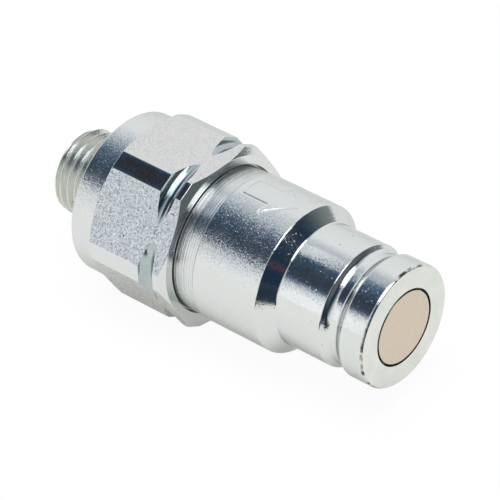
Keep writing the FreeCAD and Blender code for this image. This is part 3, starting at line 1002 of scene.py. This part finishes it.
# %% [markdown]
# ## Finishes on the adapter
#
# The bar's flats keep the skin that drawing gave them, and two opposite flats came out rougher than the
# rest. Everything else was turned. The same painting by place tells them apart.

# %% Paint and place the adapter
pebbled_side = 2
plane_tolerance = 0.03
flat_margin = 0.1
under_collar = collar_radius - 0.3
thread_start = -0.1
under_thread = tube_socket + 1.4
front_margin = adapter_length - 0.1
bore_wall = counterbore + 0.05
bore_start = 0.05
socket_wall = tube_socket + 1.2
socket_mouth = -stud_length + 0.2

adapter_outline = rounded(*outline_grid(stud_rows + adapter_corners, len(hex_angles)), steps=3)
station, radius = face_middles(adapter_outline)
flat_points = np.abs(from_flat) < half_flat - flat_margin
on_flat = flat_points & np.roll(flat_points, -1)
in_plane = np.abs(radius - hex_radius) < plane_tolerance
in_plane &= (station > collar_length) & (station < front_margin)
pebbled_columns = np.round((hex_degrees - 30) / 60) % 3 == pebbled_side
in_groove = np.abs(station - groove_station) < groove_half_width
adapter_mesh = grid_mesh("rear_adapter_finished", *carried_round(adapter_outline, hex_angles))
adapter_finishes = (
    zinc_turned, zinc_flats, zinc_thread, zinc_bore, zinc_groove, zinc_pebbled, zinc_corner, zinc_barrel)
paint(adapter_mesh, adapter_finishes, (
    (zinc_corner, in_plane),
    (zinc_flats, in_plane & on_flat),
    (zinc_pebbled, in_plane & on_flat & pebbled_columns),
    (zinc_barrel, (radius > under_collar) & (station > 0) & (station < collar_length)),
    (zinc_groove, in_groove & (radius < hex_radius - plane_tolerance)),
    (zinc_thread, (station < thread_start) & (radius > under_thread)),
    (zinc_bore, (radius < bore_wall) & (station > bore_start) & (station < front_margin)),
    (zinc_bore, (radius < socket_wall) & (station > socket_mouth) & (station <= bore_start)),
))
add_piece(adapter_mesh, "body", "zinc_plated_steel", "rear_adapter")

# %% [markdown]
# ## The valve
#
# The flat face in the nose is the end of a sliding poppet in bare ground steel, slightly warm in tone
# beside the plate. Grinding leaves it satin and even, so the plain recipe is enough.

# %% Ground valve steel
# ground flat: satin and even, warmer than the plate round it
valve_steel = plain_material(
    "ground_valve_steel", ("#CBBEAF", "#D2C5B6"), 1.0, (0.22, 0.34), 2.5, 0.2, 0.0001, grit_detail=2.0)
print(valve_steel.name)

# %% [markdown]
# ## The poppet
#
# Behind its face the poppet has a seal groove, a seating cone, a flange with three flow flats, and a long
# stem. A curve turned by a screw modifier would give all but the flats, so it is a grid like the rest. Its
# outline starts and ends on the axis: the grid is left open and the points there are welded into one.

# %% Turn the poppet
stem_end = 19.8
stem_radius = 2.5
boss_rear = 45.27
boss_radius = 4.1
flange_rear = 46.67
flange_front = 48.87
flange_radius = 6.9
flow_flat_distance = 5.7
land_radius = 6.15
land_end = 50.5
face_seal_root = 4.95
face_land_start = 53.1
face_radius = 5.9
first_flow_flat = 90
weld_distance = 0.0005
poppet_step = 2.0

poppet_columns = np.radians(np.arange(0, 360, poppet_step))
from_flow_flat = (np.degrees(poppet_columns) - first_flow_flat + 60) % 120 - 60
flange = np.minimum(flange_radius, flow_flat_distance / np.cos(np.radians(from_flow_flat)))
poppet_corners = (
    # station, radius, setback of the rounding
    (stem_end, 0.0, 0),
    (stem_end, stem_radius, 0.3),
    (boss_rear, stem_radius, 0.1),
    (boss_rear, boss_radius, 0.15),
    (flange_rear, boss_radius, 0.1),
    (flange_rear, flange, 0.1),
    (flange_front, flange, 0.08),
    (flange_front + flange_radius - land_radius, np.minimum(flange, land_radius), 0.08),
    (land_end, land_radius, 0.08),
    (land_end, face_seal_root, 0.15),
    (face_land_start, face_seal_root, 0.15),
    (face_land_start, face_radius, 0.08),
    (nose_end, face_radius, 0.1),
    (nose_end, 0.0, 0),
)
poppet_outline = rounded(*outline_grid(poppet_corners, len(poppet_columns)))
poppet_points = carried_round(poppet_outline, poppet_columns)[0]
poppet_mesh = grid_mesh("poppet_finished", poppet_points, closed=False)
welded = bmesh.new()
welded.from_mesh(poppet_mesh)
bmesh.ops.remove_doubles(welded, verts=welded.verts, dist=weld_distance * MM)
welded.to_mesh(poppet_mesh)
welded.free()
poppet_mesh.materials.append(valve_steel)
poppet = add_piece(poppet_mesh, "valve", "valve_steel", "poppet")
poppet.modifiers.new("weighted_normals", "WEIGHTED_NORMAL")

# %% [markdown]
# ## Seals
#
# Inside are two nitrile O-rings with PTFE back-up rings, the closing spring and a machined guide. They
# hardly show, but the part comes apart on a bench, so they are made in full. Each O-ring is a circle
# carried round the axis. A torus would do, but a squeezed ring isn't quite round, and this one fills the
# box of its solid.

# %% Rubber, PTFE and spring wire
# moulded rubber: black with a dull sheen
nitrile = plain_material(
    "moulded_nitrile_rubber", ("#161616", "#232322"), 0.0, (0.36, 0.54), 0.3, 0.3, 0.01)
# skived PTFE: waxy white
ptfe = plain_material("skived_ptfe", ("#E2E0D8", "#EDECE6"), 0.0, (0.4, 0.6), 0.4, 0.4, 0.01)
# drawn wire: mid grey with soft highlights
spring_wire_steel = plain_material(
    "drawn_spring_wire", ("#7F7D7B", "#9A9896"), 1.0, (0.24, 0.36), 0.25, 0.25, 0.008)
# machined steel: a plain silver grey, unplated
machined_steel = plain_material(
    "machined_steel", ("#9C9A97", "#B5B3AF"), 1.0, (0.24, 0.36), 0.3, 0.3, 0.008)
print("inner materials", nitrile.name, ptfe.name, spring_wire_steel.name, machined_steel.name)

# %% Two O-rings
joint_ring_radius = 8.78
poppet_ring_radius = 5.565
solid_cord_sides = 8
ring_step = 4.0
cord_step = 20.0
ring_columns = np.radians(np.arange(0, 360, ring_step))
cord_turns = np.radians(np.arange(0, 360, cord_step))[:, None]


def o_ring(name, body, node, middle_radius):
    """A round cord that fills the box of the solid ring it stands for."""
    low, high = (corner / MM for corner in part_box(node))
    half_height = high.z - middle_radius
    half_width = (high.x - low.x) / 2 * math.cos(math.pi / solid_cord_sides)
    station = (low.x + high.x) / 2 - half_width * np.cos(cord_turns) + 0 * ring_columns
    radius = middle_radius + half_height * np.sin(cord_turns) + 0 * ring_columns
    mesh = grid_mesh(name, *carried_round(np.stack([station, radius], axis=-1), ring_columns))
    mesh.materials.append(nitrile)
    add_piece(mesh, body, "nitrile_rubber", node)


o_ring("joint_o_ring_finished", "body", "joint_o_ring", joint_ring_radius)
o_ring("poppet_o_ring_finished", "valve", "poppet_o_ring", poppet_ring_radius)

# %% [markdown]
# ## The closing spring
#
# The spring is a circle carried along a helix whose pitch is close at the ends and open between, and its
# ends are ground flat, so points beyond them are moved back to the end planes. A screw modifier would
# give the coils, but not the ground ends.

# %% Wind the spring
wire = 1.3
wire_sides = 15
coil_radius = 4.95
ground_depth = 0.4
closed_gap = 0.08
closed_rise = wire + closed_gap
open_turns = 4
steps_per_turn = 48

spring_low, spring_high = (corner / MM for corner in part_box("valve_spring"))
wire_start = spring_low.x + wire / 2 - ground_depth
wire_end = spring_high.x - wire / 2 + ground_depth
turns = np.linspace(0, open_turns + 2, (open_turns + 2) * steps_per_turn + 1)
rise = np.interp(
    turns, [0, 1, open_turns + 1, open_turns + 2],
    [wire_start, wire_start + closed_rise, wire_end - closed_rise, wire_end])[:, None]
angle = 2 * math.pi * turns[:, None]
around = np.radians(np.arange(0, 360, 360 / wire_sides))[None, :]
reach = coil_radius + wire / 2 * np.sin(around)
along = np.clip(rise + wire / 2 * np.cos(around), spring_low.x, spring_high.x)
spring_points = np.stack([along, reach * np.sin(angle), reach * np.cos(angle)], axis=-1)
spring_mesh = grid_mesh("valve_spring_finished", spring_points, closed=False)
closing = bmesh.new()
closing.from_mesh(spring_mesh)
bmesh.ops.holes_fill(closing, edges=[edge for edge in closing.edges if edge.is_boundary])
bmesh.ops.recalc_face_normals(closing, faces=closing.faces)
closing.to_mesh(spring_mesh)
closing.free()
spring_mesh.materials.append(spring_wire_steel)
spring = add_piece(spring_mesh, "body", "spring_steel", "valve_spring")
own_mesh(spring)

# %% [markdown]
# ## The solids that stay
#
# The guide, the retaining ring and the flat back-up rings already have their true shape, so they keep their
# solids and only get better materials.

# %% Finish the solids that stay
for node, finish in (
    ("valve_guide", machined_steel),
    ("guide_retaining_ring", spring_wire_steel),
    ("joint_back_up_ring", ptfe),
    ("poppet_back_up_ring", ptfe),
):
    for material_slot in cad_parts[node].material_slots:
        material_slot.material = finish
    print(node, "wears", finish.name)
